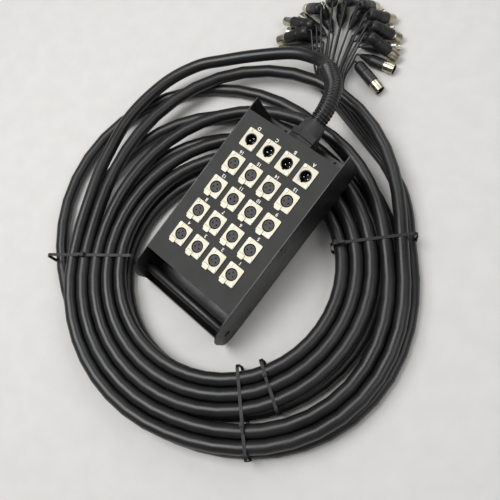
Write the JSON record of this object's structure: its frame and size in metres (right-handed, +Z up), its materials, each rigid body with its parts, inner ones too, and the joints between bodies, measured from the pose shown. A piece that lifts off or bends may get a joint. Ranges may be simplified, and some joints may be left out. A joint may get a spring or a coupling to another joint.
{
  "type": "stage box cable snake",
  "caption": "Steel stage box with a panel of three-pin sockets, resting on its coiled multicore cable that fans out into numbered plugs.",
  "frame": {"origin": "bottom centre of the leaning steel box, on the floor that its near edge and the cable ties rest on", "axes": "+Y from the carry-bar end towards the gland end, +Z up from the floor, +X to the right seen from the carry-bar end"},
  "size_m": [0.6696, 0.8225, 0.1342],
  "materials": {
    "black_paint": "semi-gloss black powder coat",
    "panel_paint": "satin black powder coat",
    "nickel": "satin nickel",
    "zinc": "zinc-plated steel",
    "silver": "silver-plated",
    "gold": "plated brass contacts",
    "grey_plastic": "moulded, matt",
    "black_plastic": "moulded, satin",
    "black_rubber": "matt",
    "hose_plastic": "shiny ribbed hose",
    "cable_jacket": "satin jacket",
    "tail_jacket": "matt jacket",
    "tie_plastic": "nylon"
  },
  "bodies": {
    "box": {"chassis": "black_paint", "lid_panel": "panel_paint", "carry_bar": "black_paint", "side_screws": "zinc", "panel_screws": "nickel", "female_flanges": "nickel", "female_inserts": "grey_plastic", "female_contacts": "gold", "latch_springs": "zinc", "male_flanges": "nickel", "male_cups": "black_plastic", "male_pins": "silver", "gland_body": "black_plastic", "gland_locknut": "black_plastic", "gland_dome_nut": "black_plastic", "gland_seal": "black_rubber", "ribbed_hose": "hose_plastic", "lead_cable": "cable_jacket", "coil": "cable_jacket", "end_cable": "cable_jacket", "breakout_boot": "black_rubber", "inner_wires": "tail_jacket", "send_tails": "tail_jacket", "return_tails": "tail_jacket", "send_bodies": "black_plastic", "send_barrels": "nickel", "send_inserts": "black_plastic", "send_pins": "silver", "return_bodies": "black_plastic", "return_barrels": "nickel", "return_inserts": "black_plastic", "return_contacts": "gold", "tie_left": "tie_plastic", "tie_right": "tie_plastic", "tie_bottom": "tie_plastic", "tie_inner": "tie_plastic"},
    "latch_01_body": {"latch_01": "nickel"},
    "latch_02_body": {"latch_02": "nickel"},
    "latch_03_body": {"latch_03": "nickel"},
    "latch_04_body": {"latch_04": "nickel"},
    "latch_05_body": {"latch_05": "nickel"},
    "latch_06_body": {"latch_06": "nickel"},
    "latch_07_body": {"latch_07": "nickel"},
    "latch_08_body": {"latch_08": "nickel"},
    "latch_09_body": {"latch_09": "nickel"},
    "latch_10_body": {"latch_10": "nickel"},
    "latch_11_body": {"latch_11": "nickel"},
    "latch_12_body": {"latch_12": "nickel"},
    "latch_13_body": {"latch_13": "nickel"},
    "latch_14_body": {"latch_14": "nickel"},
    "latch_15_body": {"latch_15": "nickel"},
    "latch_16_body": {"latch_16": "nickel"},
    "release_1_body": {"release_1": "silver"},
    "release_2_body": {"release_2": "silver"},
    "release_3_body": {"release_3": "silver"},
    "release_4_body": {"release_4": "silver"}
  },
  "joints": [
    {"name": "latch_01_press", "type": "slide", "parent": "box", "child": "latch_01_body", "axis": [0, 0.1908, -0.9816], "range_m": [0, 0.0012], "stiffness_N_per_m": 1200, "springref_m": -0.0003},
    {"name": "latch_02_press", "type": "slide", "parent": "box", "child": "latch_02_body", "axis": [0, 0.1908, -0.9816], "range_m": [0, 0.0012], "stiffness_N_per_m": 1200, "springref_m": -0.0003},
    {"name": "latch_03_press", "type": "slide", "parent": "box", "child": "latch_03_body", "axis": [0, 0.1908, -0.9816], "range_m": [0, 0.0012], "stiffness_N_per_m": 1200, "springref_m": -0.0003},
    {"name": "latch_04_press", "type": "slide", "parent": "box", "child": "latch_04_body", "axis": [0, 0.1908, -0.9816], "range_m": [0, 0.0012], "stiffness_N_per_m": 1200, "springref_m": -0.0003},
    {"name": "latch_05_press", "type": "slide", "parent": "box", "child": "latch_05_body", "axis": [0, 0.1908, -0.9816], "range_m": [0, 0.0012], "stiffness_N_per_m": 1200, "springref_m": -0.0003},
    {"name": "latch_06_press", "type": "slide", "parent": "box", "child": "latch_06_body", "axis": [0, 0.1908, -0.9816], "range_m": [0, 0.0012], "stiffness_N_per_m": 1200, "springref_m": -0.0003},
    {"name": "latch_07_press", "type": "slide", "parent": "box", "child": "latch_07_body", "axis": [0, 0.1908, -0.9816], "range_m": [0, 0.0012], "stiffness_N_per_m": 1200, "springref_m": -0.0003},
    {"name": "latch_08_press", "type": "slide", "parent": "box", "child": "latch_08_body", "axis": [0, 0.1908, -0.9816], "range_m": [0, 0.0012], "stiffness_N_per_m": 1200, "springref_m": -0.0003},
    {"name": "latch_09_press", "type": "slide", "parent": "box", "child": "latch_09_body", "axis": [0, 0.1908, -0.9816], "range_m": [0, 0.0012], "stiffness_N_per_m": 1200, "springref_m": -0.0003},
    {"name": "latch_10_press", "type": "slide", "parent": "box", "child": "latch_10_body", "axis": [0, 0.1908, -0.9816], "range_m": [0, 0.0012], "stiffness_N_per_m": 1200, "springref_m": -0.0003},
    {"name": "latch_11_press", "type": "slide", "parent": "box", "child": "latch_11_body", "axis": [0, 0.1908, -0.9816], "range_m": [0, 0.0012], "stiffness_N_per_m": 1200, "springref_m": -0.0003},
    {"name": "latch_12_press", "type": "slide", "parent": "box", "child": "latch_12_body", "axis": [0, 0.1908, -0.9816], "range_m": [0, 0.0012], "stiffness_N_per_m": 1200, "springref_m": -0.0003},
    {"name": "latch_13_press", "type": "slide", "parent": "box", "child": "latch_13_body", "axis": [0, 0.1908, -0.9816], "range_m": [0, 0.0012], "stiffness_N_per_m": 1200, "springref_m": -0.0003},
    {"name": "latch_14_press", "type": "slide", "parent": "box", "child": "latch_14_body", "axis": [0, 0.1908, -0.9816], "range_m": [0, 0.0012], "stiffness_N_per_m": 1200, "springref_m": -0.0003},
    {"name": "latch_15_press", "type": "slide", "parent": "box", "child": "latch_15_body", "axis": [0, 0.1908, -0.9816], "range_m": [0, 0.0012], "stiffness_N_per_m": 1200, "springref_m": -0.0003},
    {"name": "latch_16_press", "type": "slide", "parent": "box", "child": "latch_16_body", "axis": [0, 0.1908, -0.9816], "range_m": [0, 0.0012], "stiffness_N_per_m": 1200, "springref_m": -0.0003},
    {"name": "release_1_press", "type": "slide", "parent": "box", "child": "release_1_body", "axis": [0.3075, 0.0305, -0.9511], "range_m": [0, 0.001], "stiffness_N_per_m": 1200, "springref_m": -0.0003},
    {"name": "release_2_press", "type": "slide", "parent": "box", "child": "release_2_body", "axis": [0.2714, -0.6394, -0.7193], "range_m": [0, 0.001], "stiffness_N_per_m": 1200, "springref_m": -0.0003},
    {"name": "release_3_press", "type": "slide", "parent": "box", "child": "release_3_body", "axis": [0, 0, -1], "range_m": [0, 0.001], "stiffness_N_per_m": 1200, "springref_m": -0.0003},
    {"name": "release_4_press", "type": "slide", "parent": "box", "child": "release_4_body", "axis": [0, 0, -1], "range_m": [0, 0.001], "stiffness_N_per_m": 1200, "springref_m": -0.0003}
  ]
}
